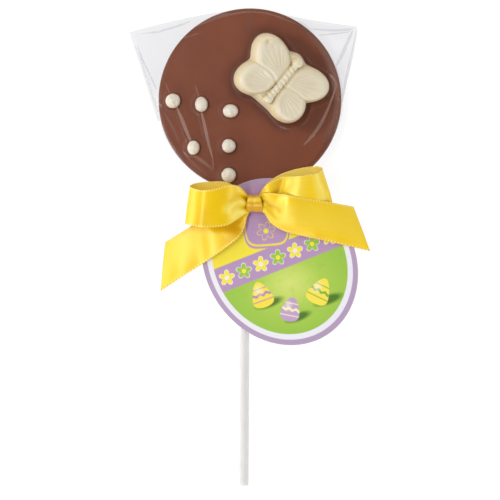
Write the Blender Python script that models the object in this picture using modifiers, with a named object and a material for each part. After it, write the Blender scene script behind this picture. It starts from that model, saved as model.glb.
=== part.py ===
"""Chocolate lollipop in a clear bag, tied with a ribbon bow that carries a card tag.

The lollipop lies on its flat back with the decorated face up. The origin is the centre
of the disc's back, on the surface it lies on: +X right, +Y from the stick towards the
top of the disc, +Z out of the decorated face. Lengths below are millimetres.
"""
from math import asin, atan2, cos, hypot, pi, radians, sin

import bmesh
import bpy
from mathutils import Matrix, Vector

MM = 0.001
GAP = 0.3

# Chocolate disc
DISC_RADIUS = 37.5
DISC_THICKNESS = 8.0
DISC_FILLET = 1.6
DISC_SIDES = 96
MID_HEIGHT = DISC_THICKNESS / 2

# Flat corners of the bag either side of the disc: the corner, then where the closed top
# edge and the side edge leave the disc, and how far the top edge bows outwards
LEFT_CORNER = ((-49.7, 28.0), (-7.8, 36.8), (-37.9, -8.8), 1.0)
RIGHT_CORNER = ((44.2, 30.3), (6.6, 37.0), (37.5, -3.5), -0.7)
BAG_EDGE_THICKNESS = 0.6
EDGE_BLEND = 2.5

# Paper stick, running up into the disc
STICK_RADIUS = 2.2
STICK_LENGTH = 150.0
STICK_END_Y = -158.4
STICK_X_AT_NECK = -2.2
STICK_LEAN = 0.0053
STICK_SIDES = 32

# Gathered neck of the bag and the pleated skirt below the tie:
# distance along Y, half width, half height, depth of the pleats as a share of both
NECK_Y = -42.6
NECK_SECTIONS = (
    (-25.0, 20.0, 3.5, 0.0),
    (-32.0, 15.0, 3.5, 0.0),
    (-36.0, 9.6, 3.5, 0.0),
    (-38.6, 5.6, 3.3, 0.0),
    (-40.0, 3.5, 3.1, 0.0),
    (-40.8, 3.0, 3.0, 0.0),
    (-44.4, 3.0, 3.0, 0.0),
    (-45.8, 3.8, 3.0, 0.04),
    (-49.0, 7.0, 3.0, 0.08),
    (-54.5, 11.2, 2.9, 0.10),
    (-61.0, 14.6, 2.8, 0.11),
    (-67.0, 16.4, 2.7, 0.12),
)
PLEATS = 9
NECK_SIDES = 54

# White chocolate butterfly: its centre on the disc, the way its head points, and its
# lean, the sideways shift of its top against its foot
BUTTERFLY_CENTRE = (12.4, 8.0)
BUTTERFLY_HEADING = radians(50.3)
BUTTERFLY_HEIGHT = 6.2
BUTTERFLY_LEAN = 1.7
# centre along and across the body, half length, half width, angle from the body
UPPER_WING = (5.4, 9.3, 10.3, 7.5, radians(62))
LOWER_WING = (-6.5, 8.3, 8.9, 7.5, radians(123))
BODY_PLATE = (-0.4, 0.0, 12.6, 4.4, 0.0)
HEAD_PLATE = (10.4, 0.0, 3.0, 3.4, 0.0)
# share of the height, and how far the outline has drawn in there
WING_PROFILE = ((-0.08, 0.0), (0.0, 0.0), (0.68, 1.0), (0.88, 1.7), (0.97, 2.6), (1.0, 4.0))
PLATE_PROFILE = ((-0.08, 0.0), (0.0, 0.0), (0.62, 1.0), (0.78, 1.7), (0.82, 2.3))
WING_SIDES = 32
BODY_BEADS = 6
BODY_START = -10.6
BODY_END = 6.8
BEAD_RADII = (1.75, 1.75, 1.7)
BEAD_HEIGHT = 0.86
HEAD_PLACE = 10.0
HEAD_RADII = (2.5, 2.4, 2.2)

# Pearls: place, and width along X and Y
PEARLS = (
    (-31.5, -0.7, 6.0, 6.0),
    (-19.9, -2.1, 5.2, 6.2),
    (-8.0, -4.8, 6.3, 5.4),
    (-23.1, -19.8, 5.0, 5.8),
    (-8.7, -19.1, 5.6, 5.6),
    (-8.7, -31.0, 5.9, 5.9),
)
PEARL_RISE = 0.55
PEARL_FLATTEN = 0.9

# Oval card tag on the front of the neck
CARD_CENTRE = (12.15, -66.4)
CARD_HALF_LENGTH = 35.7
CARD_HALF_WIDTH = 30.4
CARD_LEAN = radians(33.2)
CARD_THICKNESS = 0.5
CARD_BACK_TOP = (-32.0, 8.6)
CARD_BACK_FOOT = (-100.0, 6.5)
CARD_SIDES = 96
CARD_HOLE = (-0.4, NECK_Y)
CARD_HOLE_RADIUS = 2.3

# Satin ribbon, 16 mm wide
RIBBON_THICKNESS = 0.5
WRAP_RADIUS = 3.55
WRAP_HALF_WIDTH = 1.8
STEM_RADIUS = 1.7
STEM_HEIGHTS = (7.2, 11.0)
KNOT_CENTRE = (1.9, NECK_Y, 11.2)
KNOT_HALF_SIZES = (3.4, 3.3, 2.15)
KNOT_ROUNDING = 0.8
STRIP_ROWS_PER_SPAN = 4
STRIP_COLUMNS = 4

# Each strip of the bow as places of its two edges, the one nearer the disc first
LEFT_LOOP = (
    ((-0.8, -40.8, 12.2), (-0.8, -44.6, 11.4)),
    ((-4.6, -37.9, 17.0), (-3.2, -48.4, 13.6)),
    ((-9.5, -36.2, 20.9), (-9.0, -51.7, 16.3)),
    ((-15.0, -36.7, 22.1), (-15.5, -52.4, 17.3)),
    ((-20.0, -37.0, 21.2), (-21.3, -52.1, 16.5)),
    ((-24.2, -35.8, 17.6), (-26.4, -50.7, 13.0)),
    ((-21.8, -34.4, 14.0), (-23.0, -49.3, 10.4)),
    ((-16.0, -33.8, 13.3), (-16.5, -49.0, 10.2)),
    ((-10.0, -33.9, 12.9), (-10.0, -48.4, 10.2)),
    ((-5.0, -35.6, 12.2), (-4.6, -46.8, 10.3)),
    ((-0.8, -40.4, 11.0), (-0.8, -44.2, 10.4)),
)
RIGHT_LOOP = (
    ((4.6, -39.8, 12.2), (4.6, -43.6, 11.4)),
    ((7.6, -35.4, 15.6), (10.5, -44.6, 11.8)),
    ((13.0, -32.6, 18.6), (15.5, -45.6, 12.3)),
    ((20.0, -31.3, 19.9), (22.0, -45.6, 12.7)),
    ((26.0, -30.6, 19.2), (28.8, -45.0, 12.7)),
    ((29.2, -28.8, 16.2), (33.6, -43.4, 11.3)),
    ((26.5, -27.6, 13.4), (30.5, -42.0, 10.0)),
    ((19.6, -28.4, 12.6), (23.0, -42.8, 9.8)),
    ((13.0, -30.6, 12.2), (15.0, -43.6, 9.8)),
    ((7.4, -34.6, 11.8), (8.6, -44.0, 9.9)),
    ((4.6, -39.4, 11.0), (4.6, -43.2, 10.4)),
)
LEFT_TAIL = (
    ((-0.4, -43.0, 10.9), (0.6, -45.0, 10.7)),
    ((-5.0, -45.8, 9.5), (-1.2, -48.2, 10.2)),
    ((-10.5, -47.2, 9.3), (-2.3, -52.6, 9.9)),
    ((-15.0, -47.4, 9.3), (-5.0, -56.8, 9.4)),
    ((-19.3, -48.6, 9.2), (-9.6, -60.6, 9.0)),
    ((-25.0, -52.4, 8.7), (-17.1, -65.8, 8.9)),
    ((-30.5, -55.8, 7.0), (-27.0, -72.0, 7.4)),
    ((-34.8, -58.4, 5.5), (-36.7, -78.4, 4.2)),
)
RIGHT_TAIL = (
    ((3.6, -40.6, 12.2), (3.6, -43.8, 11.2)),
    ((6.5, -38.7, 13.6), (5.6, -45.6, 10.7)),
    ((11.0, -38.6, 15.2), (8.4, -50.4, 9.9)),
    ((17.0, -39.5, 15.9), (14.2, -53.9, 9.7)),
    ((25.0, -40.9, 15.8), (22.2, -56.0, 9.7)),
    ((34.0, -42.5, 14.4), (31.5, -57.9, 9.6)),
    ((42.1, -43.9, 12.0), (49.1, -62.0, 8.2)),
)


def clear_scene():
    for item in list(bpy.data.objects):
        bpy.data.objects.remove(item, do_unlink=True)


def collection(name):
    group = bpy.data.collections.new(name)
    bpy.context.scene.collection.children.link(group)
    return group


def linear(channel):
    share = channel / 255
    return share / 12.92 if share <= 0.04045 else ((share + 0.055) / 1.055) ** 2.4


def material(name, rgb, roughness):
    made = bpy.data.materials.new(name)
    made.use_nodes = True
    shader = made.node_tree.nodes["Principled BSDF"]
    shader.inputs["Base Color"].default_value = (*[linear(c) for c in rgb], 1.0)
    shader.inputs["Roughness"].default_value = roughness
    shader.inputs["Metallic"].default_value = 0.0
    return made


def mesh_object(name, mesh, group, surface=None):
    made = bpy.data.objects.new(name, mesh)
    group.objects.link(made)
    if surface:
        mesh.materials.clear()
        mesh.materials.append(surface)
    return made


def take_active(name, group, surface=None):
    """Name the primitive just added, with its scale applied, and move it to its group."""
    made = bpy.context.active_object
    for owner in list(made.users_collection):
        owner.objects.unlink(made)
    group.objects.link(made)
    made.name = name
    size = Matrix.Diagonal((*made.scale, 1.0))
    made.data.transform(size)
    made.scale = (1.0, 1.0, 1.0)
    if surface:
        made.data.materials.append(surface)
    return made


def loft(name, rings, group, surface=None):
    """Closed body through rings of equally many points, in millimetres."""
    mesh = bpy.data.meshes.new(name)
    body = bmesh.new()
    loops = [[body.verts.new(Vector(point) * MM) for point in ring] for ring in rings]
    for lower, upper in zip(loops, loops[1:]):
        for i, corner in enumerate(lower):
            j = (i + 1) % len(lower)
            body.faces.new((corner, lower[j], upper[j], upper[i]))
    body.faces.new(list(reversed(loops[0])))
    body.faces.new(loops[-1])
    bmesh.ops.recalc_face_normals(body, faces=body.faces)
    body.to_mesh(mesh)
    body.free()
    return mesh_object(name, mesh, group, surface)


def apply_modifiers(item):
    bpy.context.view_layer.update()
    graph = bpy.context.evaluated_depsgraph_get()
    mesh = bpy.data.meshes.new_from_object(item.evaluated_get(graph))
    old = item.data
    item.modifiers.clear()
    item.data = mesh
    bpy.data.meshes.remove(old)


def combine(item, others, operation):
    """One Boolean of the item with every object of a collection, which is then removed."""
    step = item.modifiers.new(operation.lower(), "BOOLEAN")
    step.operand_type = "COLLECTION"
    step.collection = others
    step.operation = operation
    step.solver = "EXACT"
    apply_modifiers(item)
    for used in list(others.objects):
        bpy.data.objects.remove(used, do_unlink=True)
    bpy.data.collections.remove(others)


def shade(item, angle=radians(35)):
    item.data.shade_smooth()
    item.data.set_sharp_from_angle(angle=angle)


def stick_x(y):
    """The stick leans a little, so its axis shifts in X along its length."""
    return STICK_X_AT_NECK + STICK_LEAN * (y - NECK_Y)


def along_stick(item, y_start, y_end):
    middle = (y_start + y_end) / 2
    item.location = Vector((stick_x(middle), middle, MID_HEIGHT)) * MM
    item.rotation_euler = (radians(90), 0.0, -STICK_LEAN)


def rod(name, radius, y_start, y_end, group, surface=None):
    bpy.ops.mesh.primitive_cylinder_add(
        vertices=STICK_SIDES, radius=radius * MM, depth=abs(y_end - y_start) * MM)
    made = take_active(name, group, surface)
    along_stick(made, y_start, y_end)
    return made


def corner_reach(angle, bag_corner):
    """Distance from the disc's centre to the bag's edge at an angle, or 0 beside it."""
    corner, top_end, side_end, bow = bag_corner
    for (start, end, bulge) in ((top_end, corner, bow), (corner, side_end, 0.0)):
        turn_start = (atan2(start[1], start[0]) - angle + pi) % (2 * pi) - pi
        turn_end = (atan2(end[1], end[0]) - angle + pi) % (2 * pi) - pi
        if turn_start * turn_end > 1e-12 or abs(turn_start - turn_end) > pi:
            continue
        across = hypot(*start) * sin(turn_start)
        share = across / (across - hypot(*end) * sin(turn_end))
        x = start[0] + (end[0] - start[0]) * share
        y = start[1] + (end[1] - start[1]) * share
        return hypot(x, y) + 4 * bulge * share * (1 - share)
    return 0.0


def bag_angles():
    """Even steps round the disc, with one step moved onto each corner of the bag."""
    angles = [2 * pi * i / DISC_SIDES for i in range(DISC_SIDES)]
    for bag_corner in (LEFT_CORNER, RIGHT_CORNER):
        exact = atan2(bag_corner[0][1], bag_corner[0][0])
        nearest = min(range(DISC_SIDES), key=lambda i: abs(angles[i] - exact))
        angles[nearest] = exact
    return angles


def disc_rings():
    """Rings from the back to the front: the disc's rounded edge, drawn out to the bag."""
    inner = DISC_RADIUS - DISC_FILLET
    rise = [(inner, 0.0)]
    for turn in (30, 60, 90):
        rise.append((inner + DISC_FILLET * sin(radians(turn)),
                     DISC_FILLET * (1 - cos(radians(turn)))))
    low_seam = MID_HEIGHT - BAG_EDGE_THICKNESS / 2
    drawn = [0.0, 0.25, 0.6, 1.0]
    half = []
    for (radius, height), share in zip(rise, drawn):
        ring = []
        for angle in bag_angles():
            reach = max(corner_reach(angle, c) for c in (LEFT_CORNER, RIGHT_CORNER))
            reach = max(reach, DISC_RADIUS)
            weight = min(1.0, (reach - DISC_RADIUS) / EDGE_BLEND)
            out = radius + weight * (inner + (reach - inner) * share - radius)
            up = height + weight * (low_seam * share - height)
            ring.append((out * cos(angle), out * sin(angle), up))
        half.append(ring)
    front = [[(x, y, DISC_THICKNESS - z) for x, y, z in ring] for ring in reversed(half)]
    return half + front


def neck_rings():
    rings = []
    for y, half_width, half_height, pleat in NECK_SECTIONS:
        ring = []
        for i in range(NECK_SIDES):
            angle = 2 * pi * i / NECK_SIDES
            swell = 1 + pleat * cos(PLEATS * angle)
            ring.append((stick_x(y) + half_width * swell * cos(angle), y,
                         MID_HEIGHT + half_height * swell * sin(angle)))
        rings.append(ring)
    return rings


def butterfly_point(along, across, height):
    """From the butterfly's own axes to the disc's, with the lean of its top."""
    lean = BUTTERFLY_LEAN * height / BUTTERFLY_HEIGHT
    side = BUTTERFLY_HEADING - pi / 2
    x = BUTTERFLY_CENTRE[0] + along * cos(BUTTERFLY_HEADING) + (across + lean) * cos(side)
    y = BUTTERFLY_CENTRE[1] + along * sin(BUTTERFLY_HEADING) + (across + lean) * sin(side)
    return (x, y, DISC_THICKNESS + height)


def lobe(name, shape, side, profile, group):
    """An oval that draws in as it rises, on one side of the butterfly's body."""
    along, across, half_length, half_width, turn = shape
    rings = []
    for share, inset in profile:
        ring = []
        for i in range(WING_SIDES):
            angle = 2 * pi * i / WING_SIDES
            a = (half_length - inset) * cos(angle)
            b = (half_width - inset) * sin(angle)
            ring.append(butterfly_point(
                along + a * cos(turn) - b * sin(turn),
                side * (across + a * sin(turn) + b * cos(turn)),
                share * BUTTERFLY_HEIGHT))
        rings.append(ring)
    return loft(name, rings, group)


def ellipsoid(name, centre, radii, turn, segments, group):
    bpy.ops.mesh.primitive_uv_sphere_add(
        segments=segments, ring_count=segments * 5 // 8, radius=MM,
        location=Vector(centre) * MM, rotation=(0.0, 0.0, turn), scale=radii)
    return take_active(name, group)


def add_butterfly(group):
    for side in (-1, 1):
        lobe("upper_wing", UPPER_WING, side, WING_PROFILE, group)
        lobe("lower_wing", LOWER_WING, side, WING_PROFILE, group)
    lobe("body_plate", BODY_PLATE, 1, PLATE_PROFILE, group)
    lobe("head_plate", HEAD_PLATE, 1, PLATE_PROFILE, group)
    height = BEAD_HEIGHT * BUTTERFLY_HEIGHT
    for i in range(BODY_BEADS):
        along = BODY_START + (BODY_END - BODY_START) * i / (BODY_BEADS - 1)
        ellipsoid("bead", butterfly_point(along, 0.0, height), BEAD_RADII,
                  BUTTERFLY_HEADING, 12, group)
    ellipsoid("head", butterfly_point(HEAD_PLACE, 0.0, height), HEAD_RADII,
              BUTTERFLY_HEADING, 16, group)


def add_pearls(group):
    for x, y, width, length in PEARLS:
        radius = (width + length) / 4
        ellipsoid("pearl", (x, y, DISC_THICKNESS + PEARL_RISE * radius),
                  (width / 2, length / 2, PEARL_FLATTEN * radius), 0.0, 16, group)


def make_bag(parts, surface):
    """The bagged lollipop as one solid, with a bore that the stick runs up into."""
    bag = loft("bagged_chocolate", disc_rings(), parts, surface)
    relief = collection("relief")
    loft("neck", neck_rings(), relief)
    add_butterfly(relief)
    add_pearls(relief)
    combine(bag, relief, "UNION")
    bores = collection("bores")
    skirt_end = NECK_SECTIONS[-1][0]
    bore = rod("bore", STICK_RADIUS + GAP, STICK_END_Y + STICK_LENGTH + GAP,
               skirt_end - 5.0, bores)
    bore.hide_render = True
    bore.display_type = "WIRE"
    combine(bag, bores, "DIFFERENCE")
    bag.data.materials.clear()
    bag.data.materials.append(surface)
    shade(bag)
    return bag


def make_stick(parts, surface):
    stick = rod("stick", STICK_RADIUS, STICK_END_Y + STICK_LENGTH, STICK_END_Y,
                parts, surface)
    edge = stick.modifiers.new("rim", "BEVEL")
    edge.width = 0.25 * MM
    edge.segments = 2
    shade(stick)
    return stick


def card_slope():
    return (CARD_BACK_TOP[1] - CARD_BACK_FOOT[1]) / (CARD_BACK_TOP[0] - CARD_BACK_FOOT[0])


def make_card(parts, surface):
    """Oval tag that leans left and slopes from the disc's face down to the stick."""
    slope = card_slope()
    back = CARD_BACK_TOP[1] + slope * (CARD_CENTRE[1] - CARD_BACK_TOP[0])
    bpy.ops.mesh.primitive_cylinder_add(
        vertices=CARD_SIDES, radius=MM, depth=MM,
        scale=(CARD_HALF_WIDTH, CARD_HALF_LENGTH, CARD_THICKNESS))
    card = take_active("card", parts, surface)
    tilt = Matrix.Rotation(asin(slope), 4, "X") @ Matrix.Rotation(CARD_LEAN, 4, "Z")
    place = Vector((*CARD_CENTRE, back + CARD_THICKNESS / 2)) * MM
    card.matrix_world = Matrix.Translation(place) @ tilt
    holes = collection("holes")
    bpy.ops.mesh.primitive_cylinder_add(
        vertices=24, radius=CARD_HOLE_RADIUS * MM, depth=20 * MM,
        location=Vector((*CARD_HOLE, back)) * MM)
    hole = take_active("hole", holes)
    hole.hide_render = True
    hole.display_type = "WIRE"
    combine(card, holes, "DIFFERENCE")
    shade(card)
    return card


def smooth_between(points, span, share):
    """Catmull-Rom point between the points span and span + 1."""
    before = points[max(span - 1, 0)]
    start, end = points[span], points[span + 1]
    after = points[min(span + 2, len(points) - 1)]
    square, cube = share ** 2, share ** 3
    return 0.5 * ((2 * start) + (end - before) * share
                  + (2 * before - 5 * start + 4 * end - after) * square
                  + (3 * start - before - 3 * end + after) * cube)


def strip(name, stations, group):
    """A ribbon between two edges, as a thin shell."""
    edges = [[Vector(pair[side]) for pair in stations] for side in (0, 1)]
    mesh = bpy.data.meshes.new(name)
    sheet = bmesh.new()
    rows = []
    for step in range((len(stations) - 1) * STRIP_ROWS_PER_SPAN + 1):
        span = min(step // STRIP_ROWS_PER_SPAN, len(stations) - 2)
        share = step / STRIP_ROWS_PER_SPAN - span
        ends = [smooth_between(edge, span, share) for edge in edges]
        rows.append([sheet.verts.new(ends[0].lerp(ends[1], i / STRIP_COLUMNS) * MM)
                     for i in range(STRIP_COLUMNS + 1)])
    for row, following in zip(rows, rows[1:]):
        for i in range(STRIP_COLUMNS):
            sheet.faces.new((row[i], row[i + 1], following[i + 1], following[i]))
    sheet.to_mesh(mesh)
    sheet.free()
    made = mesh_object(name, mesh, group)
    shell = made.modifiers.new("thickness", "SOLIDIFY")
    shell.thickness = RIBBON_THICKNESS * MM
    shell.offset = 0.0
    return made


def add_wrap(group):
    """The turn of ribbon round the neck, flattened to a band."""
    bpy.ops.mesh.primitive_torus_add(
        major_segments=32, minor_segments=8,
        major_radius=WRAP_RADIUS * MM, minor_radius=RIBBON_THICKNESS / 2 * MM,
        location=(0.0, 0.0, 0.0))
    wrap = bpy.context.active_object
    wrap.scale = (1.0, 1.0, WRAP_HALF_WIDTH / (RIBBON_THICKNESS / 2))
    wrap = take_active("wrap", group)
    along_stick(wrap, NECK_Y, NECK_Y)
    return wrap


def add_stem(group):
    """The ribbon's way from the wrap through the card's hole up to the knot."""
    low, high = STEM_HEIGHTS
    bpy.ops.mesh.primitive_cylinder_add(
        vertices=20, radius=STEM_RADIUS * MM, depth=(high - low) * MM,
        location=Vector((*CARD_HOLE, (low + high) / 2)) * MM)
    return take_active("stem", group)


def make_ribbon(parts, surface):
    """Knot, two loops, two tails and the wrap round the neck, as one solid."""
    length, half_y, half_z = KNOT_HALF_SIZES
    bpy.ops.mesh.primitive_cylinder_add(
        vertices=24, radius=MM, depth=MM, scale=(half_z, half_y, 2 * length))
    knot = take_active("ribbon", parts, surface)
    knot.location = Vector(KNOT_CENTRE) * MM
    knot.rotation_euler = (0.0, radians(90), 0.0)
    rim = knot.modifiers.new("rounding", "BEVEL")
    rim.width = KNOT_ROUNDING * MM
    rim.segments = 3
    bow = collection("bow")
    strip("left_loop", LEFT_LOOP, bow)
    strip("right_loop", RIGHT_LOOP, bow)
    strip("left_tail", LEFT_TAIL, bow)
    strip("right_tail", RIGHT_TAIL, bow)
    add_wrap(bow)
    add_stem(bow)
    combine(knot, bow, "UNION")
    knot.data.materials.clear()
    knot.data.materials.append(surface)
    shade(knot)
    return knot


def main():
    clear_scene()
    parts = collection("chocolate_lollipop")
    chocolate = material("chocolate", (126, 75, 56), 0.35)
    paper = material("stick_paper", (238, 237, 235), 0.7)
    print_card = material("card_print", (187, 196, 120), 0.45)
    satin = material("satin", (240, 203, 60), 0.35)
    make_bag(parts, chocolate)
    make_stick(parts, paper)
    make_card(parts, print_card)
    make_ribbon(parts, satin)


main()
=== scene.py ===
"""Looks of a chocolate lollipop in a clear bag, with a satin bow and an oval card tag.

It lies on its back with the decorated face up: +X right, +Y from the stick towards the
top of the disc, +Z out of the decorated face. Lengths are millimetres unless a name says
otherwise, and they become metres where a mesh is made.
"""

from math import asin, atan2, cos, pi, radians, sin

import bpy
import numpy as np
from mathutils import Matrix, Vector


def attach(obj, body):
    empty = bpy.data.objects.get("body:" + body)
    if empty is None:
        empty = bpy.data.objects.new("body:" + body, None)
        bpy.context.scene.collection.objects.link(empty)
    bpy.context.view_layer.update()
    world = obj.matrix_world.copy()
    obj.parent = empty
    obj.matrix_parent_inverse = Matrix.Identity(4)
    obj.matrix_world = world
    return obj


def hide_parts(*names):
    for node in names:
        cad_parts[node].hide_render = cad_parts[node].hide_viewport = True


MM = 0.001

# Chocolate disc
DISC_RADIUS = 37.5
DISC_BACK = 0.15
DISC_FACE = 8.0
DISC_FILLET = 1.6
DISC_FLAT_RADIUS = DISC_RADIUS - DISC_FILLET
DISC_SIDES = 384
# radius of the flat cap that closes the middle of the face and of the back
DISC_CAP = 0.3
MID_HEIGHT = 4.0
# waves in the face: height, length and seed
FACE_WAVES = ((0.035, 22.0, 3), (0.008, 5.0, 4))
# chocolate drawn up round a topping: height and reach
PEARL_COLLAR = (0.16, 0.6)
BUTTERFLY_COLLAR = (0.20, 0.7)
# strength of the painted shade on the chocolate's rounded edge and round a pearl (with the
# shade's reach), and of the painted shadow at places to the right of the butterfly
RIM_SHADE = 0.45
PEARL_SHADE = (0.7, 0.7)
BUTTERFLY_SHADE = ((3.5, 0.95), (7.0, 0.9), (10.5, 0.8))
BUTTERFLY_SHADE_REACH = 2.6

# Butterfly: centre on the disc, heading of its head, height, and sideways lean of its top
BUTTERFLY_CENTRE = (12.0, 8.05)
BUTTERFLY_HEADING = radians(51)
BUTTERFLY_HEIGHT = 6.2
BUTTERFLY_LEAN = 2.1
BUTTERFLY_FOOT = -0.6
BUTTERFLY_SIDES = 480
# upper and lower wing on each side: centre along and across the body, half length, half
# width, angle from the body
LEFT_WINGS = ((4.4, -8.3, 10.9, 7.7, radians(-58.7)), (-5.0, -8.3, 9.3, 7.2, radians(-143.9)))
RIGHT_WINGS = ((4.6, 7.8, 10.8, 7.5, radians(62.6)), (-5.0, 7.6, 8.7, 7.5, radians(135.8)))
BODY_PLATE = (0.9, 0.0, 11.7, 4.5, 0.0)
HEAD_PLATE = (10.2, 0.0, 2.4, 4.2, 0.0)
# web of the base between the lower wings, behind the tail
TAIL_WEB = (-8.9, 1.4, 11.7, 3.5, radians(90))
# how widely two of these ovals blend where they meet
OVAL_BLEND = 0.95
WING_SHOULDER = 4.0
WING_SPREAD = 0.6
# upper and lower wing: depth of its dish, and the place along the body that its grooves
# spread from
WING_DISHES = (0.12, 0.28)
WING_ROOTS = (0.5, -3.0)
DISH_SHIFT = 0.9
GROOVES_ROUND = 34
GROOVE_DEPTH = 0.12
GROOVE_SIDE = 1.2
# where the grooves set in, as distances from there, and where they and the dish leave off,
# as shares of the wing's radius
GROOVES_START = (2.5, 5.0)
GROOVES_END = (0.8, 0.6)
DISH_END = (0.7, 0.4)
# depths inside an outline over which the valley and the body's channel set in
SET_IN = (0.5, 3.0)
VALLEY_DEPTH = 0.35
VALLEY_WIDTH = 1.3
# small longish pit in one wing: its middle, and its half width and half length
WING_PIT = (8.8, -15.2)
PIT_HALF_SIZE = (0.75, 1.05)
PIT_DEPTH = 0.6
BASE_SHOULDER = 3.0
BASE_SHARE = 0.72
CHANNEL_DEPTH = 0.6
CHANNEL_HALF_WIDTH = 1.0
CHANNEL_SLOPE = 1.3
# where the channel ends and where it is at full depth, past the tail and past the head
CHANNEL_ENDS = ((-11.2, -9.2), (12.5, 10.5))
BODY_TOP = 6.6
BODY_RADIUS = 1.45
# beaded body: least radius, how much its beads add, their pitch and how far they slant
BEADS = (1.12, 0.42, 1.95, 0.35)
# painted shade low on the butterfly: how far below the wings' top it is full, and how strong
# it is in the pit and beside the body
HOLLOW_SHADE_DEPTH = 1.6
PIT_SHADE = 1.6
CHANNEL_SHADE = 1.7
# place along the body and radius of the ball at each end
TAIL_BALL = (-9.4, 1.75)
HEAD_BALL = (9.6, 2.15)

# Pearls: place, and width along X and Y
PEARLS = (
    (-31.5, -0.7, 6.0, 6.0),
    (-19.9, -2.1, 5.2, 6.2),
    (-8.0, -4.8, 6.3, 5.4),
    (-23.1, -19.8, 5.0, 5.8),
    (-8.7, -19.1, 5.6, 5.6),
    (-8.7, -31.0, 5.9, 5.9),
)
USUAL_PEARL_RADIUS = 3.0
PEARL_RISE = 0.55
PEARL_FLATTEN = 0.9
PEARL_UNEVEN = 0.018

# Clear bag: its two corners, then each straight edge with its ends and how far it bows
LEFT_CORNER = (-49.7, 28.0)
RIGHT_CORNER = (44.2, 30.3)
BAG_EDGES = (
    ((-7.8, 36.8), LEFT_CORNER, 1.0),
    (LEFT_CORNER, (-37.9, -8.8), 0.0),
    ((6.6, 37.0), RIGHT_CORNER, -0.7),
    (RIGHT_CORNER, (37.5, -3.5), 0.0),
    ((17.2, -33.6), (1.1, -40.8), 0.0),
    ((-5.3, -40.8), (-21.0, -31.3), 0.0),
    ((1.1, -40.8), (-5.3, -40.8), 0.0),
)
MOUTH_HALF_WIDTH = 3.2
MOUTH_HALF_HEIGHT = 3.0
MOUTH_TOP = -39.0
MOUTH_EDGE = -40.0
FILM_GAP = 0.12
FILM_FLOOR = 0.04
# width of the strip along the bag's edge in which the two films part
SEAM_WIDTH = 1.6
# how strongly the film is drawn down to the face between the toppings
FILM_CLING = 0.9
# the film's shape is solved on square grids over the bag, each finer than the last
MAP_LOW = (-52.0, -44.0)
MAP_SIZE = (98.0, 84.0)
MAP_STEPS = (2.0, 1.0, 0.5)
MAP_ROUNDS = 300
# distances of the film's outermost rows of points from its edge, and how far in from them
# the innermost row lies, as a share of the way to the disc's centre
FILM_EDGE_ROWS = np.array([0.0, 0.012, 0.06, 0.15, 0.3, 0.5, 0.75, 1.05, 1.4, 1.8, 2.3])
FILM_INNERMOST = 0.992
# sides, rows and seed of the waves in the flat corners
FRONT_FILM = (512, 92, 11)
BACK_FILM = (320, 36, 12)
CORNER_WAVES = (0.12, 13.0)

# Photographed frame: column and row of the disc's centre, and a pixel's size
PHOTO_COLUMN = 250.0
PHOTO_ROW = 99.5
PHOTO_PIXEL = 0.4092
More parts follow.
